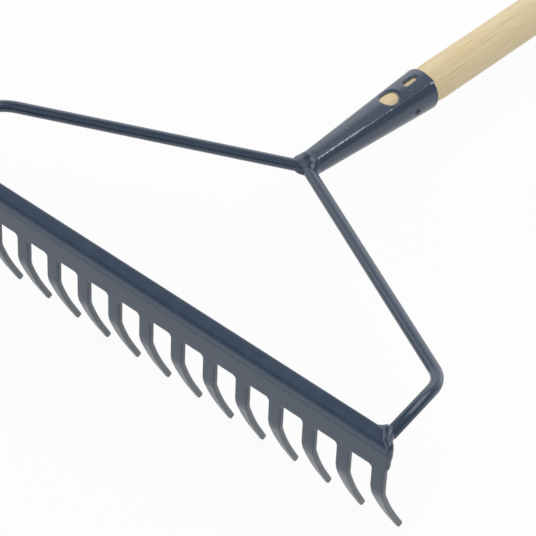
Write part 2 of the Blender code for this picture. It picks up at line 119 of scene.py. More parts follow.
def folded(distance):
    """Place (y, z) on the outer face of the strip and the slope there, so far from the flange's edge."""
    slope = FLANGE_SLOPE
    place = Vector((FLANGE_EDGE_Y, FLANGE_EDGE_Z))
    left = distance
    for index, (length, radius) in enumerate(STRIP_RUNS):
        last = index == len(STRIP_RUNS) - 1
        step = left if last else min(left, length)
        turn = step / radius if radius else 0.0
        chord = 2 * radius * math.sin(turn / 2) if radius else step
        place += Vector((-math.cos(slope + turn / 2), -math.sin(slope + turn / 2))) * chord
        slope += turn
        left -= step
        if left <= 0:
            break
    return place, slope


TAPER_TOP_Z = folded(TAPER_START)[0].y
TIP_Z = folded(STRIP_LENGTH)[0].y


def taper(distance):
    """How far down its tapered part a tooth is: 0 above the bend, 1 at the tip."""
    return max(0.0, (TAPER_TOP_Z - folded(distance)[0].y) / (TAPER_TOP_Z - TIP_Z))


def bar_place(across, distance, depth):
    """A point of the bent strip from its place on the flat pattern and its depth in the sheet."""
    spot, slope = folded(distance)
    sink = Vector((math.sin(slope), -math.cos(slope))) * depth
    share = taper(distance)
    if share > 0 and abs(across) > BAR_HALF_LENGTH - TOOTH_PITCH / 2:
        across += math.copysign(END_TOOTH_SPLAY * share, across)
        spot = spot + Vector((END_TOOTH_CURL * share, 0))
    return Vector((across, spot.x + sink.x, spot.y + sink.y))


def spaced(low, high, steps):
    """Evenly spaced values from low to high, both included."""
    return [low + (high - low) * i / steps for i in range(steps + 1)]


RIM_STEPS = 3
SHARPEST_MITRE = 0.6


class Pattern:
    """A flat pattern in millimetres: points, each made once, and the faces between them."""

    def __init__(self):
        self.points = []
        self.faces = []
        self.known = {}

    def point(self, across, along):
        key = (round(across, 4), round(along, 4))
        if key not in self.known:
            self.known[key] = len(self.points)
            self.points.append(Vector((across, along)))
        return self.known[key]

    def face(self, *corners):
        ring = [c for i, c in enumerate(corners) if c != corners[i - 1]]
        if len(ring) > 2:
            self.faces.append(tuple(ring))

    def grid(self, rows):
        """Faces between rows of points that all have the same count."""
        for upper, lower in zip(rows, rows[1:]):
            for i in range(len(upper) - 1):
                self.face(upper[i], upper[i + 1], lower[i + 1], lower[i])


def pressed_sheet(name, pattern, place, thickness, edge_round, axes):
    """A piece of sheet bent from a pattern: two skins, and a rounded rim round every edge.

    The pattern stops short of the true edges by edge_round, and the rim fills that strip.
    """
    follows = {}
    for face in pattern.faces:
        for i, corner in enumerate(face):
            follows[(face[i - 1], corner)] = True
    border = {a: b for a, b in follows if (b, a) not in follows}
    before = {b: a for a, b in border.items()}
    a, b, c = (pattern.points[i] for i in pattern.faces[0][:3])
    spin = math.copysign(1.0, (b - a).cross(c - b))
    outward = {}
    for corner in border:
        sides = []
        for a, b in ((before[corner], corner), (corner, border[corner])):
            run = (pattern.points[b] - pattern.points[a]).normalized()
            sides.append(Vector((run.y, -run.x)) * spin)
        outward[corner] = (sides[0] + sides[1]) / max(SHARPEST_MITRE, 1 + sides[0].dot(sides[1]))

    quarter = [math.pi / 2 * i / RIM_STEPS for i in range(RIM_STEPS + 1)]
    profile = [(edge_round * math.sin(a), edge_round * (1 - math.cos(a))) for a in quarter]
    profile += [(out, thickness - depth) for out, depth in reversed(profile)]

    count = len(pattern.points)
    verts = [place(p.x, p.y, depth) for depth in (0.0, thickness) for p in pattern.points]
    rim_share = [0.0] * len(verts)
    rim = {}
    for ring, (out, depth) in enumerate(profile):
        for corner in border:
            if ring == 0:
                rim[ring, corner] = corner
            elif ring == len(profile) - 1:
                rim[ring, corner] = count + corner
            else:
                spot = pattern.points[corner] + outward[corner] * out
                rim[ring, corner] = len(verts)
                verts.append(place(spot.x, spot.y, depth))
                rim_share.append(out / edge_round)
    faces = list(pattern.faces) + [tuple(count + i for i in face[::-1]) for face in pattern.faces]
    for ring in range(len(profile) - 1):
        for a, b in border.items():
            faces.append((rim[ring, b], rim[ring, a], rim[ring + 1, a], rim[ring + 1, b]))
    return add_piece(name, verts, faces, axes, rim_share)


def add_piece(name, verts, faces, axes, edge_share=None):
    """An object from points in millimetres along the given axes. edge_share marks the rims for the
    paint's edge colour.
    """
    mesh = bpy.data.meshes.new(name)
    mesh.from_pydata([tuple(axes @ (v * MM)) for v in verts], [], faces)
    work = bmesh.new()
    work.from_mesh(mesh)
    bmesh.ops.recalc_face_normals(work, faces=work.faces)
    work.to_mesh(mesh)
    work.free()
    mark(mesh, "edge", edge_share or [0.0] * len(verts))
    mesh.shade_smooth()
    item = bpy.data.objects.new(name, mesh)
    bpy.context.scene.collection.objects.link(item)
    return item


def mark(mesh, name, values):
    """Keeps a number for each point of a mesh, for the paint to read."""
    if name not in mesh.attributes:
        mesh.attributes.new(name, "FLOAT", "POINT")
    mesh.attributes[name].data.foreach_set("value", values)


def keep_faces_flat(item):
    """Normals follow the large faces, so that flats stay flat and only the rims look round."""
    normals = item.modifiers.new("flat_faces", "WEIGHTED_NORMAL")
    normals.weight = FLAT_FACE_WEIGHT
    normals.keep_sharp = True


def hand_over(item, node, material):
    """The finished piece takes its paint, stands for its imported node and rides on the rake."""
    item.data.materials.append(material)
    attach(item, "root")
    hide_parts(node)


def bar_end(distance):
    """Half the bar's length on the pattern, so far from the flange's edge."""
    y = folded(distance)[0].x
    fold = RIDGE_Y + RIDGE_RADIUS / 2
    cut_back = (y - fold) / (FLANGE_EDGE_Y + BAR_THICKNESS / 2 - fold)
    shoulder = GAP_ROOT - PLATE_HEIGHT + END_SHOULDER_DROP
    drop = (distance - shoulder) / (GAP_ROOT + GAP_CORNER_RADIUS - shoulder)
    if distance < FLANGE_FLAT + FOLD_ARC:
        return BAR_HALF_LENGTH - FLANGE_CORNER_CUT * max(0.0, cut_back)
    return BAR_HALF_LENGTH - END_MARGIN * min(1.0, max(0.0, drop))


def tooth_sides(k, distance):
    """Left and right edge of a tooth on the pattern, with the bar's end as the outer teeth's side."""
    middle = (k - (TOOTH_COUNT - 1) / 2) * TOOTH_PITCH
    half = TOOTH_WIDTH / 2 * (1 - taper(distance) * (1 - TOOTH_TIP_WIDTH / TOOTH_WIDTH))
    from_tip = STRIP_LENGTH - distance
    if from_tip < BAR_EDGE_ROUND + TIP_CORNER_ROUND:
        share = 1 - (from_tip - BAR_EDGE_ROUND) / TIP_CORNER_ROUND
        half -= TIP_CORNER_ROUND * (1 - math.sqrt(max(0.0, 1 - share * share)))
    left, right = middle - half, middle + half
    if distance < GAP_ROOT + GAP_CORNER_RADIUS:
        if k == 0:
            left = -bar_end(distance)
        if k == TOOTH_COUNT - 1:
            right = bar_end(distance)
    return left + BAR_EDGE_ROUND, right - BAR_EDGE_ROUND


def bar_pattern():
    """The flat strip: flange and plate in one grid, then a ladder of faces down each tooth."""
    pattern = Pattern()
    corner_steps = 4
    tooth_steps = 4
    reach = GAP_CORNER_RADIUS + BAR_EDGE_ROUND
    root = GAP_ROOT - BAR_EDGE_ROUND
    shoulder = GAP_ROOT - PLATE_HEIGHT + END_SHOULDER_DROP
    plate_rows = spaced(BAR_EDGE_ROUND, FLANGE_FLAT, 4)
    plate_rows += spaced(FLANGE_FLAT, FLANGE_FLAT + FOLD_ARC, 10)[1:]
    plate_rows += spaced(FLANGE_FLAT + FOLD_ARC, shoulder, 2)[1:]
    plate_rows += spaced(shoulder, root, 3)[1:]
    tooth_rows = spaced(root, GAP_ROOT + GAP_CORNER_RADIUS, corner_steps)
    tooth_rows += spaced(GAP_ROOT + GAP_CORNER_RADIUS, TAPER_START, 6)[1:]
    tooth_rows += spaced(TAPER_START, TAPER_START + BEND_ARC, 8)[1:]
    tooth_rows += spaced(TAPER_START + BEND_ARC, TAPER_START + BEND_ARC + SWEEP_ARC, 14)[1:]
    tip = STRIP_LENGTH - BAR_EDGE_ROUND
    tooth_rows += spaced(TAPER_START + BEND_ARC + SWEEP_ARC, tip - TIP_CORNER_ROUND, 6)[1:]
    tooth_rows += [tip - TIP_CORNER_ROUND * (1 - math.sin(a)) for a in spaced(0, math.pi / 2, 3)[1:]]

    plate = []
    for distance in plate_rows:
        row = []
        for k in range(TOOTH_COUNT):
            row += [pattern.point(x, distance) for x in spaced(*tooth_sides(k, distance), tooth_steps)]
            if k < TOOTH_COUNT - 1:
                low, high = tooth_sides(k, root)[1], tooth_sides(k + 1, root)[0]
                across = spaced(low, low + reach, corner_steps)[1:]
                across += spaced(low + reach, high - reach, 5)[1:]
                across += spaced(high - reach, high, corner_steps)[1:-1]
                row += [pattern.point(x, distance) for x in across]
        plate.append(row)
    pattern.grid(plate)

    for k in range(TOOTH_COUNT):
        ladder = []
        for distance in tooth_rows:
            sides = tooth_sides(k, distance)
            ladder.append([pattern.point(x, distance) for x in spaced(*sides, tooth_steps)])
        pattern.grid(ladder)

    for k in range(TOOTH_COUNT - 1):
        for side in (1, -1):
            edge = tooth_sides(k, root)[1] if side > 0 else tooth_sides(k + 1, root)[0]
            down = [(edge, d) for d in reversed(tooth_rows[:corner_steps + 1])]
            over = [(x, root) for x in spaced(edge, edge + side * reach, corner_steps)[1:]]
            angles = spaced(0, math.pi / 2, 2 * corner_steps)
            curve = [(edge + side * reach * (1 - math.cos(a)), root + reach * (1 - math.sin(a)))
                     for a in angles]
            outer = [pattern.point(*p) for p in down + over]
            inner = [outer[0]] + [pattern.point(*p) for p in curve[1:-1]] + [outer[-1]]
            for i in range(len(outer) - 1):
                ring = (outer[i], outer[i + 1], inner[i + 1], inner[i])
                pattern.face(*(ring if side > 0 else ring[::-1]))
    return pattern


def value_node(nodes, kind, **settings):
    """A node of that kind with its properties set. Keys that start with in_ name its inputs."""
    node = nodes.new(kind)
    for key, setting in settings.items():
        if key.startswith("in_"):
            node.inputs[key[3:].replace("_", " ")].default_value = setting
        else:
            setattr(node, key, setting)
    return node


def start_group(name, inputs, outputs):
    """An empty shader group with the named sockets; a colour has four values, a number one."""
    group = bpy.data.node_groups.new(name, "ShaderNodeTree")
    for label, start in inputs.items():
        kind = "NodeSocketColor" if isinstance(start, tuple) else "NodeSocketFloat"
        socket = group.interface.new_socket(label, in_out="INPUT", socket_type=kind)
        socket.default_value = start
    for label, kind in outputs.items():
        group.interface.new_socket(label, in_out="OUTPUT", socket_type=kind)
    return group, group.nodes.new("NodeGroupInput"), group.nodes.new("NodeGroupOutput")


def enamel_group():
    """Shop enamel: cloudy depth, a fine orange peel, nibs in the paint, an edge colour (bare wear on the
    bar and bow, a painted highlight on the socket's lip), and tips paled with painted floor light.
    """
    inputs = {"Color": (0.02, 0.03, 0.06, 1), "Cloud Color": (0.03, 0.04, 0.07, 1),
              "Worn And Highlight Color": (0.2, 0.2, 0.2, 1), "Tip Floor Light Color": (0.2, 0.2, 0.2, 1),
              "Roughness": 0.3, "Wear And Highlight": 0.4, "Peel Height": 0.02}
    outputs = {"Color": "NodeSocketColor", "Roughness": "NodeSocketFloat", "Normal": "NodeSocketVector"}
    group, given, made = start_group("enamel", inputs, outputs)
    nodes, links = group.nodes, group.links
    place = nodes.new("ShaderNodeTexCoord").outputs["Object"]

    def cloud(scale, detail):
        texture = value_node(nodes, "ShaderNodeTexNoise", in_Scale=scale, in_Detail=detail,
                             in_Roughness=0.6)
        links.new(place, texture.inputs["Vector"])
        return texture.outputs["Fac"]

    def remapped(source, low, high, to_low, to_high):
        ranged = value_node(nodes, "ShaderNodeMapRange", in_From_Min=low, in_From_Max=high,
                            in_To_Min=to_low, in_To_Max=to_high)
        links.new(source, ranged.inputs["Value"])
        return ranged.outputs["Result"]

    def mixed(share, first, second):
        mix = nodes.new("ShaderNodeMix")
        mix.data_type = "RGBA"
        for source, label in ((share, "Factor"), (first, "A"), (second, "B")):
            links.new(source, [s for s in mix.inputs if s.name == label and s.enabled][0])
        return [s for s in mix.outputs if s.enabled][0]

    def worked(operation, first, second):
        math_node = value_node(nodes, "ShaderNodeMath", operation=operation)
        for source, socket in ((first, math_node.inputs[0]), (second, math_node.inputs[1])):
            if isinstance(source, float):
                socket.default_value = source
            else:
                links.new(source, socket)
        return math_node.outputs["Value"]

    broad = remapped(cloud(45.0, 3.0), 0.35, 0.7, 0.0, 1.0)
    color = mixed(broad, given.outputs["Color"], given.outputs["Cloud Color"])
    # Painted floor light: the paint turns an uneven pale grey toward the teeth's tips.
    tip_floor_light = value_node(nodes, "ShaderNodeAttribute", attribute_name="tip_floor_light").outputs["Fac"]
    tip_floor_light_share = worked("MULTIPLY", tip_floor_light, remapped(cloud(150.0, 4.0), 0.3, 0.7, 0.15, 0.45))
    color = mixed(tip_floor_light_share, color, given.outputs["Tip Floor Light Color"])
    # Edge colour: real wear on the bar and bow; on the socket, a painted highlight along the seam's lip.
    edge = value_node(nodes, "ShaderNodeAttribute", attribute_name="edge").outputs["Fac"]
    ragged = remapped(cloud(420.0, 4.0), 0.42, 0.62, 0.35, 1.0)
    worn_and_highlight = worked("MULTIPLY", worked("MULTIPLY", edge, ragged), given.outputs["Wear And Highlight"])
    nibs = remapped(cloud(1400.0, 1.0), 0.70, 0.78, 0.0, 0.12)
    color = mixed(worked("MAXIMUM", worn_and_highlight, nibs), color, given.outputs["Worn And Highlight Color"])
    links.new(color, made.inputs["Color"])

    smears = remapped(cloud(90.0, 5.0), 0.3, 0.75, -0.05, 0.08)
    rough = worked("ADD", given.outputs["Roughness"], smears)
    rough = worked("ADD", rough, worked("MULTIPLY", tip_floor_light_share, 0.3))
    links.new(worked("ADD", rough, worked("MULTIPLY", worn_and_highlight, 0.2)), made.inputs["Roughness"])

    peel = worked("ADD", cloud(620.0, 2.0), worked("MULTIPLY", cloud(160.0, 1.0), 2.0))
    bump = value_node(nodes, "ShaderNodeBump", in_Strength=1.0)
    bump.inputs["Distance"].default_value = MM
    links.new(worked("MULTIPLY", peel, given.outputs["Peel Height"]), bump.inputs["Height"])
    links.new(bump.outputs["Normal"], made.inputs["Normal"])
    return group


ENAMEL = enamel_group()
ENAMEL_IOR = 1.70
NAVY = (0.009, 0.032, 0.073)
NAVY_CLOUD = (0.013, 0.037, 0.077)
BARE_EDGE = (0.10, 0.12, 0.14)
# The pale grey below is painted floor light on the teeth's tips.
TIP_FLOOR_LIGHT_COLOR = (0.16, 0.175, 0.155)


def enamel(name, roughness, wear_and_highlight, peel, worn_and_highlight_color=BARE_EDGE):
    """A coat of the dark blue enamel."""
    material = bpy.data.materials.new(name)
    material.use_nodes = True
    nodes, links = material.node_tree.nodes, material.node_tree.links
    shader = nodes["Principled BSDF"]
    shader.inputs["IOR"].default_value = ENAMEL_IOR
    coat = nodes.new("ShaderNodeGroup")
    coat.node_tree = ENAMEL
    coat.inputs["Color"].default_value = (*NAVY, 1)
    coat.inputs["Cloud Color"].default_value = (*NAVY_CLOUD, 1)
    coat.inputs["Worn And Highlight Color"].default_value = (*worn_and_highlight_color, 1)
    coat.inputs["Tip Floor Light Color"].default_value = (*TIP_FLOOR_LIGHT_COLOR, 1)
    coat.inputs["Roughness"].default_value = roughness
    coat.inputs["Wear And Highlight"].default_value = wear_and_highlight
    coat.inputs["Peel Height"].default_value = peel
    links.new(coat.outputs["Color"], shader.inputs["Base Color"])
    links.new(coat.outputs["Roughness"], shader.inputs["Roughness"])
    links.new(coat.outputs["Normal"], shader.inputs["Normal"])
    return material


# The rake's own axes: X along the bar, Y toward the handle in the plane of the bow
RAKE = axes_along(-Vector(MOUNTS["bar_front"]["axis"]), Vector(MOUNTS["bar_front"]["pos_m"]))
rod_low, rod_high = corners_in("bow_rod", RAKE)
RAKE.translation = RAKE @ (Vector((0, -RIDGE_Y, (rod_low.z + rod_high.z) / 2)) * MM)

bar = pressed_sheet("bar_with_teeth", bar_pattern(), bar_place, BAR_THICKNESS, BAR_EDGE_ROUND, RAKE)
keep_faces_flat(bar)
to_rake = RAKE.inverted()
teeth_top = TAPER_TOP_Z + TOOTH_STRAIGHT
# Painted floor light: how far down its tooth each point is, so that the paint pales toward the tips.
down_tooth = [(teeth_top - (to_rake @ v.co).z / MM) / (teeth_top - TIP_Z) for v in bar.data.vertices]
mark(bar.data, "tip_floor_light", [min(1.0, max(0.0, share)) for share in down_tooth])
hand_over(bar, "toothed_bar", enamel("bar enamel with painted floor light", 0.25, 0.5, 0.02))


# The bow
# One length of round steel rod, bent cold in a V at its middle and round a former at each side, so
# that a leg reaches down to each end of the bar. It has the same enamel as the bar.
ROD_RADIUS = 4.1
ROD_SIDES = 48
BOW_HALF_WIDTH = 195.0
BOW_DEPTH = 96.7
LEFT_BEND_RADIUS = 33.0
RIGHT_BEND_RADIUS = 20.0
NECK_BEND_RADIUS = 11.0
LEG_END_X = 203.4
LEG_END_Y = FLANGE_EDGE_Y + BAR_THICKNESS * math.sin(FLANGE_SLOPE)


def tube(rings):
    """Points and faces of a tube through rings of equal length, closed at both ends."""
    count = len(rings[0])
    verts = [point for ring in rings for point in ring]
    faces = []
    for r in range(len(rings) - 1):
        for i in range(count):
            j = (i + 1) % count
            faces.append((r * count + i, r * count + j, (r + 1) * count + j, (r + 1) * count + i))
    faces.append(tuple(range(count)))
    faces.append(tuple(range(len(verts) - count, len(verts))))
    return verts, faces


def bent(before, corner, after, radius):
    """Points and directions along the arc that a rod makes where two straight runs meet."""
    run_in = (corner - before).normalized()
    run_out = (after - corner).normalized()
    turn = run_in.angle(run_out)
    steps = math.ceil(turn / math.radians(2.5))
    start = corner - run_in * radius * math.tan(turn / 2)
    side = (run_out - run_in * math.cos(turn)).normalized()
    arc = []
    for angle in spaced(0, turn, steps):
        spot = start + run_in * radius * math.sin(angle) + side * radius * (1 - math.cos(angle))
        arc.append((spot, run_in * math.cos(angle) + side * math.sin(angle)))
    return arc


def bow_rings():
    """Round sections along the bow's centre line, from the left leg to the right one."""
    right = [Vector((BOW_HALF_WIDTH, -BOW_DEPTH, 0)), Vector((LEG_END_X, LEG_END_Y, 0))]
    left = [Vector((-p.x, p.y, 0)) for p in right]
    middle = Vector((0, 0, 0))
    stations = [(left[1], (left[0] - left[1]).normalized())]
    stations += bent(left[1], left[0], middle, LEFT_BEND_RADIUS)
    stations += bent(left[0], middle, right[0], NECK_BEND_RADIUS)
    stations += bent(middle, right[0], right[1], RIGHT_BEND_RADIUS)
    stations.append((right[1], (right[1] - right[0]).normalized()))
    rings = []
    for index, (spot, ahead) in enumerate(stations):
        across = Vector((0, 0, 1)).cross(ahead)
        ring = []
        for s in range(ROD_SIDES):
            angle = 2 * math.pi * s / ROD_SIDES
            point = spot + across * ROD_RADIUS * math.cos(angle)
            if index in (0, len(stations) - 1):
                point -= ahead * (point.y - spot.y) / ahead.y
            ring.append(point + Vector((0, 0, ROD_RADIUS * math.sin(angle))))
        rings.append(ring)
    return rings


bow = add_piece("bent_bow", *tube(bow_rings()), RAKE)
hand_over(bow, "bow_rod", enamel("bow enamel", 0.23, 0.3, 0.015))


# The socket
# A tapered tube rolled from steel sheet, with its seam left open and one edge of it standing proud.
# A round hole and a slot were punched in it, which drew their rims in, and two rivet holes.
SOCKET_LENGTH = 113.0
SOCKET_MOUTH_RADIUS = 15.2
SOCKET_NECK_RADIUS = 8.7
SOCKET_WALL = 1.5
SOCKET_EDGE_ROUND = 0.5
SEAM_ANGLE = math.radians(43.0)
SEAM_GAP = 0.25
SEAM_LIP = 0.9
SEAM_LIP_SPAN = math.radians(24.0)
COLUMN_STEP = math.radians(3.75)
DRAWN_IN = 0.7
DRAWN_REACH = 1.7
SHAFT_LENGTH = 1400.0
SHAFT_INSERT = 92.0
RIVET_RADIUS = 2.2
RIVET_FROM_MOUTH = 20.2
RIVET_TILT = math.radians(4.5)

# Each punched hole: angle from the top, distance from the mouth, length, width, then the block of the
# pattern round it as columns to each side and as rows toward the neck and toward the mouth
PUNCHED = (
    (0.0, 35.4, 14.6, 14.6, 10, 44.6, 26.2),
    (math.radians(-1.0), 13.2, 12.2, 4.0, 4, 21.5, 4.9),
    (RIVET_TILT - math.pi / 2, RIVET_FROM_MOUTH, 4.7, 4.7, 4, 24.2, 16.2),
    (RIVET_TILT - 3 * math.pi / 2, RIVET_FROM_MOUTH, 4.7, 4.7, 4, 24.2, 16.2),
)

# The handle's axes: Y along the shaft, from its butt
HANDLE = axes_along(MOUNTS["butt_end"]["axis"], Vector(MOUNTS["butt_end"]["pos_m"]))
MOUTH_Y = SHAFT_INSERT - SHAFT_LENGTH
NECK_Y = MOUTH_Y - SOCKET_LENGTH


def socket_radius(from_neck):
    """Outer radius of the socket, so far from its neck."""
    return SOCKET_NECK_RADIUS + (SOCKET_MOUTH_RADIUS - SOCKET_NECK_RADIUS) * from_neck / SOCKET_LENGTH


def smooth(share):
    """Eases from 0 to 1."""
    share = min(1.0, max(0.0, share))
    return share * share * (3 - 2 * share)


def hole_spot(hole, across, from_neck):
    """The nearest point of a hole's middle line, and the offset from it to a place on the pattern."""
    angle, from_mouth, length, width = hole[:4]
    middle = SOCKET_LENGTH - from_mouth
    reach = (length - width) / 2
    along = min(max(from_neck - middle, -reach), reach)
    centre = Vector((angle * socket_radius(middle + along), middle + along))
    return centre, Vector((across, from_neck)) - centre


def rolled(across, from_neck, depth):
    """A point of the rolled socket from its place on the flat pattern and its depth in the wall."""
    radius = socket_radius(from_neck)
    angle = across / radius
    into_lip = (angle - SEAM_ANGLE + SEAM_LIP_SPAN) / SEAM_LIP_SPAN
    height = radius - depth + SEAM_LIP * smooth(into_lip)
    for hole in PUNCHED[:2]:
        away = hole_spot(hole, across, from_neck)[1].length - hole[3] / 2
        height -= DRAWN_IN * (1 - smooth(away / DRAWN_REACH)) ** 2
    return Vector((height * math.sin(angle), NECK_Y + from_neck, height * math.cos(angle)))


def socket_pattern():
    """The flat sheet: a grid from seam to seam, with a ring of faces round each punched hole."""
    pattern = Pattern()
    rows = spaced(SOCKET_EDGE_ROUND, 68.4, 14)
    for end, steps in ((86.8, 16), (89.5, 2), (91.5, 2), (97.5, 6), (108.1, 9)):
        rows += spaced(rows[-1], end, steps)[1:]
    rows += spaced(rows[-1], SOCKET_LENGTH - SOCKET_EDGE_ROUND, 5)[1:]
    first = math.ceil((SEAM_ANGLE - 2 * math.pi) / COLUMN_STEP + 1)
    last = math.floor(SEAM_ANGLE / COLUMN_STEP) - 1
    grid = []
    for s in rows:
        radius = socket_radius(s)
        inset = (SEAM_GAP / 2 + SOCKET_EDGE_ROUND) / radius
        angles = [SEAM_ANGLE - 2 * math.pi + inset]
        angles += [i * COLUMN_STEP for i in range(first, last + 1)]
        angles.append(SEAM_ANGLE - inset)
        grid.append([pattern.point(angle * radius, s) for angle in angles])

    taken = set()
    for hole in PUNCHED:
        column = round(hole[0] / COLUMN_STEP) - first + 1
        left, right = column - hole[4], column + hole[4]
        low, high = (min(range(len(rows)), key=lambda r: abs(rows[r] - (SOCKET_LENGTH - from_mouth)))
                     for from_mouth in hole[5:])
        taken |= {(r, c) for r in range(low, high) for c in range(left, right)}
        around = [grid[low][c] for c in range(left, right)]
        around += [grid[r][right] for r in range(low, high)]
        around += [grid[high][c] for c in range(right, left, -1)]
        around += [grid[r][left] for r in range(high, low, -1)]
        outer = around
        for share in (0.6, 0.3, 0.12, 0.0):
            inner = []
            for index in around:
                centre, offset = hole_spot(hole, *pattern.points[index])
                edge = centre + offset.normalized() * (hole[3] / 2 + SOCKET_EDGE_ROUND)
                inner.append(pattern.point(*edge.lerp(pattern.points[index], share)))
            for i in range(len(around)):
                pattern.face(outer[i - 1], outer[i], inner[i], inner[i - 1])
            outer = inner
    for r in range(len(rows) - 1):
        for c in range(len(grid[0]) - 1):
            if (r, c) not in taken:
                pattern.face(grid[r][c], grid[r][c + 1], grid[r + 1][c + 1], grid[r + 1][c])
    return pattern


# The painted highlight along the seam's proud lip, with two painted glints on it, in distances from the
# neck
LIP_HIGHLIGHT_WIDTH = 1.0
LIP_HIGHLIGHT_START = 18.0
LIP_HIGHLIGHT_FADE = 56.0
LIP_GLINTS = (70.0, 110.5)
LIP_GLINT_REACH = 1.6
OTHER_EDGE_HIGHLIGHT = 0.15
# The pale blue-white below is a painted highlight for the seam's lip.
LIP_HIGHLIGHT_COLOR = (0.56, 0.64, 0.76)
LIP_SLACK = 0.1


def painted_lip_highlight(spot):
    """How much of the painted highlight colour the seam's proud lip takes: most by the neck, with two
    painted glints toward the mouth.
    """
    from_neck = spot.y / MM - NECK_Y
    radius = socket_radius(from_neck)
    off_seam = (math.atan2(spot.x, spot.z) - SEAM_ANGLE) * radius
    outside = math.hypot(spot.x, spot.z) / MM > radius - LIP_SLACK
    if not outside or abs(off_seam + LIP_HIGHLIGHT_WIDTH / 2) > LIP_HIGHLIGHT_WIDTH / 2 + LIP_SLACK:
        return OTHER_EDGE_HIGHLIGHT
    glint = max(math.exp(-((from_neck - at) / LIP_GLINT_REACH) ** 2) for at in LIP_GLINTS)
    fade = smooth((from_neck - LIP_HIGHLIGHT_START) / LIP_HIGHLIGHT_FADE)
    return max(glint, 1.0 - (1.0 - OTHER_EDGE_HIGHLIGHT) * fade)


socket = pressed_sheet("rolled_socket", socket_pattern(), rolled, SOCKET_WALL, SOCKET_EDGE_ROUND, HANDLE)
to_handle = HANDLE.inverted()
rim_share = [0.0] * len(socket.data.vertices)
socket.data.attributes["edge"].data.foreach_get("value", rim_share)
# Painted highlight: the seam's lip and two glints on it take a pale blue-white colour, and the socket's
# other edges take a faint share of it.
lip_highlight = [painted_lip_highlight(to_handle @ v.co) for v in socket.data.vertices]
lip_highlight = [s if s > OTHER_EDGE_HIGHLIGHT else s * share for s, share in zip(lip_highlight, rim_share)]
mark(socket.data, "edge", lip_highlight)
hand_over(socket, "socket", enamel("socket enamel with painted lip highlight", 0.24, 0.9, 0.02, LIP_HIGHLIGHT_COLOR))


# The welds
# Beads of steel laid with a torch: one between the V of the bow and the socket, and one at each end
# of the bar, over the rod's end and down the bar's end face. They are painted over with the rest.
WELD_VOXEL = 0.5
WELD_SMOOTHING = 80
WELD_SHRINKAGE = 0.4
RIPPLE_PITCH = 3.2
RIPPLE_HEIGHT = 0.02
NECK_DROPS = (
    ((-0.3, 3.7, 0.4), (9.1, 7.8, 8.9)),
    ((-5.8, 0.4, 0.2), (5.8, 4.4, 4.9)),
    ((-7.7, 2.4, 0.0), (2.7, 5.6, 4.4)),
    ((5.0, -0.8, 0.2), (4.6, 4.4, 5.0)),
    ((-1.8, -4.0, -0.6), (6.4, 3.4, 2.8)),
)
# From the leg's end and the flange edge
DROPS_AT_ROD = (
    ((-5.0, 0.0, 0.2), (5.6, 2.2, 2.2)),
    ((-1.8, 0.6, 1.4), (4.8, 3.2, 3.4)),
    ((0.6, -2.6, 0.4), (4.2, 3.4, 2.9)),
    ((2.6, -5.4, 0.2), (3.4, 3.2, 2.5)),
    ((5.4, -7.2, -0.6), (3.0, 2.8, 2.6)),
)
# From the bar's end and its ridge
DROPS_AT_BAR_END = (
    ((-0.8, 3.6, -1.2), (2.0, 2.9, 4.2)),
    ((-0.6, 2.9, -5.4), (2.0, 3.1, 5.6)),
    ((-0.6, 2.5, -12.0), (1.6, 2.5, 5.4)),
)


def drop_solid(centre, half_sizes, rows=20, sides=32):
    """An egg-shaped drop of weld metal, as rings from one end to the other."""
    rings = []
    for r in range(1, rows):
        polar = math.pi * r / rows
        ring = []
        for s in range(sides):
            turn = 2 * math.pi * s / sides
            ring.append(centre + Vector((half_sizes[0] * math.sin(polar) * math.cos(turn),
                                         -half_sizes[1] * math.cos(polar),
                                         half_sizes[2] * math.sin(polar) * math.sin(turn))))
        rings.append(ring)
    return tube(rings)


def weld_bead(name, node, drops, material):
    """Runs the drops together, smooths them, and raises faint ripples as the torch moved on."""
    verts, faces = [], []
    for centre, half_sizes in drops:
        drop_verts, drop_faces = drop_solid(centre, half_sizes)
        faces += [tuple(i + len(verts) for i in face) for face in drop_faces]
        verts += drop_verts
    bead = add_piece(name, verts, faces, RAKE)
    run_together = bead.modifiers.new("run_together", "REMESH")
    run_together.mode = "VOXEL"
    run_together.voxel_size = WELD_VOXEL * MM
    soften = bead.modifiers.new("soften", "SMOOTH")
    soften.iterations = WELD_SMOOTHING
    graph = bpy.context.evaluated_depsgraph_get()
    mesh = bpy.data.meshes.new_from_object(bead.evaluated_get(graph))
    bead.modifiers.clear()
    bead.data = mesh
    for vertex in mesh.vertices:
        spot = vertex.co / MM
        rough = noise.noise(spot * 0.2)
        wave = math.cos(2 * math.pi * ((spot.x + 0.6 * spot.y) / RIPPLE_PITCH + 0.5 * rough))
        vertex.co += vertex.normal * MM * (WELD_SHRINKAGE + RIPPLE_HEIGHT * wave)
    mesh.shade_smooth()
    hand_over(bead, node, material)


weld_enamel = enamel("weld enamel", 0.26, 0.0, 0.012)
weld_bead("neck_bead", "neck_weld", [(Vector(c), h) for c, h in NECK_DROPS], weld_enamel)
for side, name in ((-1, "left"), (1, "right")):
    end_drops = []
    for base, group in ((Vector((LEG_END_X, FLANGE_EDGE_Y, 0)), DROPS_AT_ROD),
                        (Vector((BAR_HALF_LENGTH, RIDGE_Y, RIDGE_Z)), DROPS_AT_BAR_END)):
        for offset, half_sizes in group:
            centre = base + Vector(offset)
            end_drops.append((Vector((side * centre.x, centre.y, centre.z)), half_sizes))
    weld_bead(f"{name}_end_bead", f"{name}_end_weld", end_drops, weld_enamel)


# The shaft
# Turned from pale ash, straight grained, sanded and left almost bare. It is parallel outside the
# socket, tapers to fit inside it, and its butt edge is rounded over for the hand.
SHAFT_RADIUS = 13.75
SHAFT_CLEARANCE = 0.6
BUTT_EDGE_RADIUS = 5.0
SHAFT_SIDES = 96


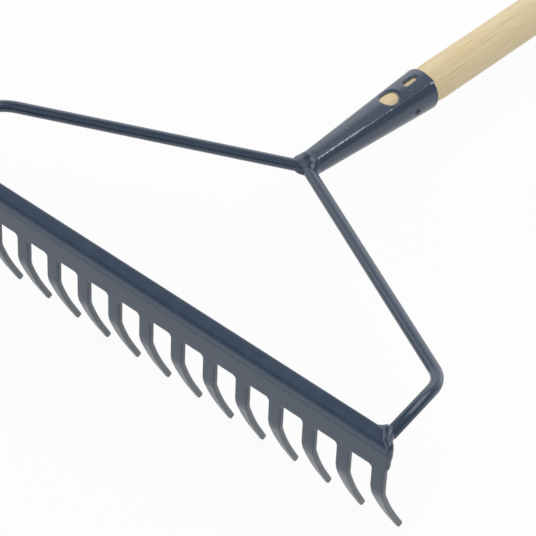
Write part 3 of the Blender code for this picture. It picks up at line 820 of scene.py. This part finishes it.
def turned(profile, sides, axis="Y"):
    """Rings round an axis from (along, radius) points."""
    rings = []
    for along, radius in profile:
        ring = []
        for i in range(sides):
            angle = 2 * math.pi * i / sides
            a, b = radius * math.sin(angle), radius * math.cos(angle)
            ring.append(Vector((a, along, b)) if axis == "Y" else Vector((along, a, b)))
        rings.append(ring)
    return rings


def shaft_profile():
    """Points (along, radius) from the shaft's inner end to the middle of its butt."""
    inside = SOCKET_WALL + SHAFT_CLEARANCE
    inner = socket_radius(SOCKET_LENGTH - SHAFT_INSERT) - inside
    mouth = SOCKET_MOUTH_RADIUS - inside
    profile = [(-SHAFT_LENGTH, inner * 0.5), (-SHAFT_LENGTH, inner - 1.0), (1.0 - SHAFT_LENGTH, inner)]
    profile += [(y, inner + (mouth - inner) * (y + SHAFT_LENGTH) / SHAFT_INSERT)
                for y in spaced(1.0 - SHAFT_LENGTH, MOUTH_Y, 12)[1:]]
    profile += [(MOUTH_Y + SHAFT_RADIUS * share, mouth + (SHAFT_RADIUS - mouth) * smooth(share))
                for share in spaced(0, 1, 8)[1:]]
    profile += [(y, SHAFT_RADIUS) for y in spaced(MOUTH_Y + SHAFT_RADIUS, -BUTT_EDGE_RADIUS, 60)[1:]]
    face = SHAFT_RADIUS - BUTT_EDGE_RADIUS
    profile += [(-BUTT_EDGE_RADIUS * (1 - math.sin(a)), face + BUTT_EDGE_RADIUS * math.cos(a))
                for a in spaced(0, math.pi / 2, 8)[1:]]
    profile += [(0.0, face * share) for share in (0.8, 0.5, 0.2)]
    return profile


def ash_wood():
    """Solid grain: rings round a pith outside the shaft, fine pores along it, a few pink streaks."""
    material = bpy.data.materials.new("ash wood")
    material.use_nodes = True
    nodes, links = material.node_tree.nodes, material.node_tree.links
    shader = nodes["Principled BSDF"]
    along_shaft = nodes.new("ShaderNodeMapping")
    along_shaft.inputs["Rotation"].default_value = HANDLE.inverted().to_euler()
    links.new(nodes.new("ShaderNodeTexCoord").outputs["Object"], along_shaft.inputs["Vector"])
    place = along_shaft.outputs["Vector"]

    def stretched(scale, shift):
        mapping = nodes.new("ShaderNodeMapping")
        mapping.inputs["Scale"].default_value = scale
        mapping.inputs["Location"].default_value = shift
        links.new(place, mapping.inputs["Vector"])
        return mapping.outputs["Vector"]

    def grain(vector, scale, detail):
        texture = value_node(nodes, "ShaderNodeTexNoise", in_Scale=scale, in_Detail=detail)
        links.new(vector, texture.inputs["Vector"])
        return texture.outputs["Fac"]

    def ramp(source, stops):
        colors = nodes.new("ShaderNodeValToRGB")
        while len(colors.color_ramp.elements) < len(stops):
            colors.color_ramp.elements.new(0.5)
        for element, (position, color) in zip(colors.color_ramp.elements, stops):
            element.position = position
            element.color = (*color, 1)
        links.new(source, colors.inputs["Fac"])
        return colors.outputs["Color"]

    def mixed(kind, share, first, second):
        mix = nodes.new("ShaderNodeMix")
        mix.data_type = "RGBA"
        mix.blend_type = kind
        sockets = {s.name: s for s in mix.inputs if s.enabled}
        if isinstance(share, float):
            sockets["Factor"].default_value = share
        else:
            links.new(share, sockets["Factor"])
        links.new(first, sockets["A"])
        links.new(second, sockets["B"])
        return [s for s in mix.outputs if s.enabled][0]

    rings = value_node(nodes, "ShaderNodeTexWave", wave_type="RINGS", rings_direction="Y",
                       in_Scale=95.0, in_Distortion=5.0, in_Detail=2.0, in_Detail_Scale=0.8)
    links.new(stretched((1.0, 0.05, 1.0), (0.021, 0.0, 0.035)), rings.inputs["Vector"])
    pale = (0.745, 0.640, 0.400)
    late = (0.705, 0.590, 0.350)
    color = ramp(rings.outputs["Fac"], ((0.0, late), (0.35, pale), (1.0, (0.715, 0.590, 0.370))))
    streaks = ramp(grain(stretched((1.0, 0.02, 1.0), (0.3, 0.1, 0.7)), 160.0, 3.0),
                   ((0.35, (0.97, 0.94, 0.91)), (0.6, (1.0, 1.0, 1.0))))
    color = mixed("MULTIPLY", 1.0, color, streaks)
    flush = grain(stretched((1.0, 0.10, 1.0), (0.9, 0.4, 0.2)), 30.0, 1.0)
    pink = ramp(flush, ((0.45, (1.0, 1.0, 1.0)), (0.7, (1.01, 0.97, 0.95))))
    color = mixed("MULTIPLY", 1.0, color, pink)
    pores = grain(stretched((1.0, 0.035, 1.0), (0.0, 0.0, 0.0)), 900.0, 2.0)
    pore_dark = ramp(pores, ((0.30, (0.88, 0.82, 0.74)), (0.42, (1.0, 1.0, 1.0))))
    color = mixed("MULTIPLY", 1.0, color, pore_dark)
    links.new(color, shader.inputs["Base Color"])
    rough = value_node(nodes, "ShaderNodeMapRange", in_To_Min=0.62, in_To_Max=0.42)
    links.new(rings.outputs["Fac"], rough.inputs["Value"])
    links.new(rough.outputs["Result"], shader.inputs["Roughness"])
    bump = value_node(nodes, "ShaderNodeBump", in_Strength=0.5)
    bump.inputs["Distance"].default_value = 0.06 * MM
    links.new(pores, bump.inputs["Height"])
    links.new(bump.outputs["Normal"], shader.inputs["Normal"])
    return material


shaft = add_piece("turned_shaft", *tube(turned(shaft_profile(), SHAFT_SIDES)), HANDLE)
hand_over(shaft, "shaft", ash_wood())


# The rivet
# A plain steel pin driven through the socket and the shaft, and peened over a little at both ends.
# Its ends sit just below the socket's surface and are coloured near black.
RIVET_RECESS = 0.5
RIVET_DOME = 0.35
RIVET_SIDES = 32
DOME_ANGLES = (0.15, 0.35, 0.55, 0.75, 0.9, 1.0)


def rivet_material():
    """Near-black steel, half metallic and dented."""
    material = bpy.data.materials.new("rivet steel")
    material.use_nodes = True
    nodes, links = material.node_tree.nodes, material.node_tree.links
    shader = nodes["Principled BSDF"]
    shader.inputs["Metallic"].default_value = 0.5
    place = nodes.new("ShaderNodeTexCoord").outputs["Object"]
    dents = value_node(nodes, "ShaderNodeTexNoise", in_Scale=900.0, in_Detail=3.0)
    links.new(place, dents.inputs["Vector"])
    colors = nodes.new("ShaderNodeValToRGB")
    colors.color_ramp.elements[0].position = 0.35
    colors.color_ramp.elements[0].color = (0.012, 0.016, 0.024, 1)
    colors.color_ramp.elements[1].position = 0.7
    colors.color_ramp.elements[1].color = (0.045, 0.05, 0.06, 1)
    links.new(dents.outputs["Fac"], colors.inputs["Fac"])
    links.new(colors.outputs["Color"], shader.inputs["Base Color"])
    rough = value_node(nodes, "ShaderNodeMapRange", in_To_Min=0.35, in_To_Max=0.6)
    links.new(dents.outputs["Fac"], rough.inputs["Value"])
    links.new(rough.outputs["Result"], shader.inputs["Roughness"])
    bump = value_node(nodes, "ShaderNodeBump", in_Strength=0.6)
    bump.inputs["Distance"].default_value = 0.15 * MM
    links.new(dents.outputs["Fac"], bump.inputs["Height"])
    links.new(bump.outputs["Normal"], shader.inputs["Normal"])
    return material


rivet_half = socket_radius(SOCKET_LENGTH - RIVET_FROM_MOUTH) - RIVET_RECESS
dome_width = math.sin(DOME_ANGLES[-1])
dome = [(rivet_half - 2 * RIVET_DOME * (1 - math.cos(a)), RIVET_RADIUS * math.sin(a) / dome_width)
        for a in DOME_ANGLES]
rivet_profile = [(-x, r) for x, r in dome] + [(x, r) for x, r in reversed(dome)]
rivet_rings = turned(rivet_profile, RIVET_SIDES, "X")
rivet_spot = Vector((0, MOUTH_Y - RIVET_FROM_MOUTH, 0))
rivet_turn = Matrix.Rotation(RIVET_TILT, 3, "Y")
rivet_rings = [[rivet_turn @ point + rivet_spot for point in ring] for ring in rivet_rings]
rivet = add_piece("cross_pin", *tube(rivet_rings), HANDLE)
hand_over(rivet, "rivet", rivet_material())


# The studio
# A plain pale floor that runs out to a white background, with soft light from all round, a few
# broad bright and dark fields round the rake, and one large softbox overhead.
FLOOR_HALF = 6.0
FLOOR_COLOR = (0.85, 0.85, 0.84, 1)
SHADOW_SHARE = 0.09


def seen_directly(nodes, links):
    """1 for rays that show the background as it is: straight from the camera, mirrored or refracted."""
    path = nodes.new("ShaderNodeLightPath")
    total = path.outputs["Is Camera Ray"]
    for label in ("Is Glossy Ray", "Is Transmission Ray"):
        larger = value_node(nodes, "ShaderNodeMath", operation="MAXIMUM")
        links.new(total, larger.inputs[0])
        links.new(path.outputs[label], larger.inputs[1])
        total = larger.outputs["Value"]
    return total


def floor_material():
    """Matt and pale. Seen directly it is white, but for a share of the shadow that falls on it."""
    material = bpy.data.materials.new("pale floor")
    material.use_nodes = True
    nodes, links = material.node_tree.nodes, material.node_tree.links
    shader = nodes["Principled BSDF"]
    shader.inputs["Base Color"].default_value = FLOOR_COLOR
    shader.inputs["Roughness"].default_value = 0.9
    shader.inputs["Specular IOR Level"].default_value = 0.0
    glow = value_node(nodes, "ShaderNodeEmission", in_Strength=1.0)
    blend = nodes.new("ShaderNodeMixShader")
    blend.inputs["Fac"].default_value = SHADOW_SHARE
    links.new(glow.outputs["Emission"], blend.inputs[1])
    links.new(shader.outputs["BSDF"], blend.inputs[2])
    choice = nodes.new("ShaderNodeMixShader")
    links.new(seen_directly(nodes, links), choice.inputs["Fac"])
    links.new(shader.outputs["BSDF"], choice.inputs[1])
    links.new(blend.outputs["Shader"], choice.inputs[2])
    links.new(choice.outputs["Shader"], nodes["Material Output"].inputs["Surface"])
    return material


floor_mesh = bpy.data.meshes.new("floor")
floor_corners = [(x * FLOOR_HALF, y * FLOOR_HALF, 0) for x, y in ((-1, -1), (1, -1), (1, 1), (-1, 1))]
floor_mesh.from_pydata(floor_corners, [], [(0, 1, 2, 3)])
floor = bpy.data.objects.new("floor", floor_mesh)
bpy.context.scene.collection.objects.link(floor)
floor.data.materials.append(floor_material())

# The room round the rake: an even level with broad bright and dark fields in it, each given by its
# azimuth from +Y toward +X, its elevation, how tight it is, and how much it adds
ROOM_LEVEL = 0.40
ROOM_DARKEST = 0.03
ROOM_FIELDS = (
    (199.0, 6.0, 5.0, 1.24),
    (324.0, 27.0, 7.0, 1.29),
    (8.0, 2.0, 17.0, 2.59),
    (171.0, -6.0, 11.0, -1.34),
    (256.0, 37.0, 8.6, -0.66),
    (264.0, 21.0, 12.0, 1.63),
)


def toward(azimuth, elevation):
    """Direction with its azimuth from +Y toward +X, both in degrees."""
    a, e = math.radians(azimuth), math.radians(elevation)
    return Vector((math.sin(a) * math.cos(e), math.cos(a) * math.cos(e), math.sin(e)))


world = bpy.data.worlds.new("soft white room")
bpy.context.scene.world = world
world.use_nodes = True
room_nodes, room_links = world.node_tree.nodes, world.node_tree.links
looking = room_nodes.new("ShaderNodeTexCoord").outputs["Generated"]


def room_math(operation, *values):
    """A math node in the room's shader, fed by sockets or by plain numbers."""
    node = value_node(room_nodes, "ShaderNodeMath", operation=operation)
    for value, socket in zip(values, node.inputs):
        if isinstance(value, (int, float)):
            socket.default_value = value
        else:
            room_links.new(value, socket)
    return node.outputs["Value"]


brightness = ROOM_LEVEL
for azimuth, elevation, tightness, amount in ROOM_FIELDS:
    facing = value_node(room_nodes, "ShaderNodeVectorMath", operation="DOT_PRODUCT")
    room_links.new(looking, facing.inputs[0])
    facing.inputs[1].default_value = toward(azimuth, elevation)
    fall = room_math("MULTIPLY_ADD", facing.outputs["Value"], tightness, -tightness)
    fade = room_math("EXPONENT", fall)
    brightness = room_math("ADD", brightness, room_math("MULTIPLY", fade, amount))
brightness = room_math("MAXIMUM", brightness, ROOM_DARKEST)
seen = room_nodes.new("ShaderNodeLightPath").outputs["Is Camera Ray"]
level = value_node(room_nodes, "ShaderNodeMix", data_type="FLOAT")
room_links.new(seen, level.inputs["Factor"])
room_links.new(brightness, level.inputs["A"])
level.inputs["B"].default_value = 1.0
room_links.new(level.outputs["Result"], room_nodes["Background"].inputs["Strength"])
room_nodes["Background"].inputs["Color"].default_value = (1, 1, 1, 1)

# The lamp, and the camera at the photo's place
AIM = Vector((0.0, -0.65, 0.05))
SOFTBOX_WIDTH = 1.4
SOFTBOX_DISTANCE = 1.8
SOFTBOX_POWER = 12.0
SOFTBOX_PLACE = (71.0, 70.0)
lamp = bpy.data.lights.new("overhead", "AREA")
lamp.shape = "SQUARE"
lamp.size = SOFTBOX_WIDTH
lamp.energy = SOFTBOX_POWER
softbox = bpy.data.objects.new("overhead", lamp)
bpy.context.scene.collection.objects.link(softbox)
softbox.location = AIM + toward(*SOFTBOX_PLACE) * SOFTBOX_DISTANCE
softbox.rotation_euler = (AIM - softbox.location).to_track_quat("-Z", "Y").to_euler()

lens = bpy.data.cameras.new("camera")
lens.lens = 188.06
lens.sensor_width = 36.0
lens.clip_end = 50.0
camera = bpy.data.objects.new("camera", lens)
bpy.context.scene.collection.objects.link(camera)
camera.location = (0.92130, -1.67278, 1.27364)
camera.rotation_euler = [math.radians(a) for a in (47.229, 0.068, 42.392)]
bpy.context.scene.camera = camera
bpy.context.scene.view_settings.view_transform = "Standard"
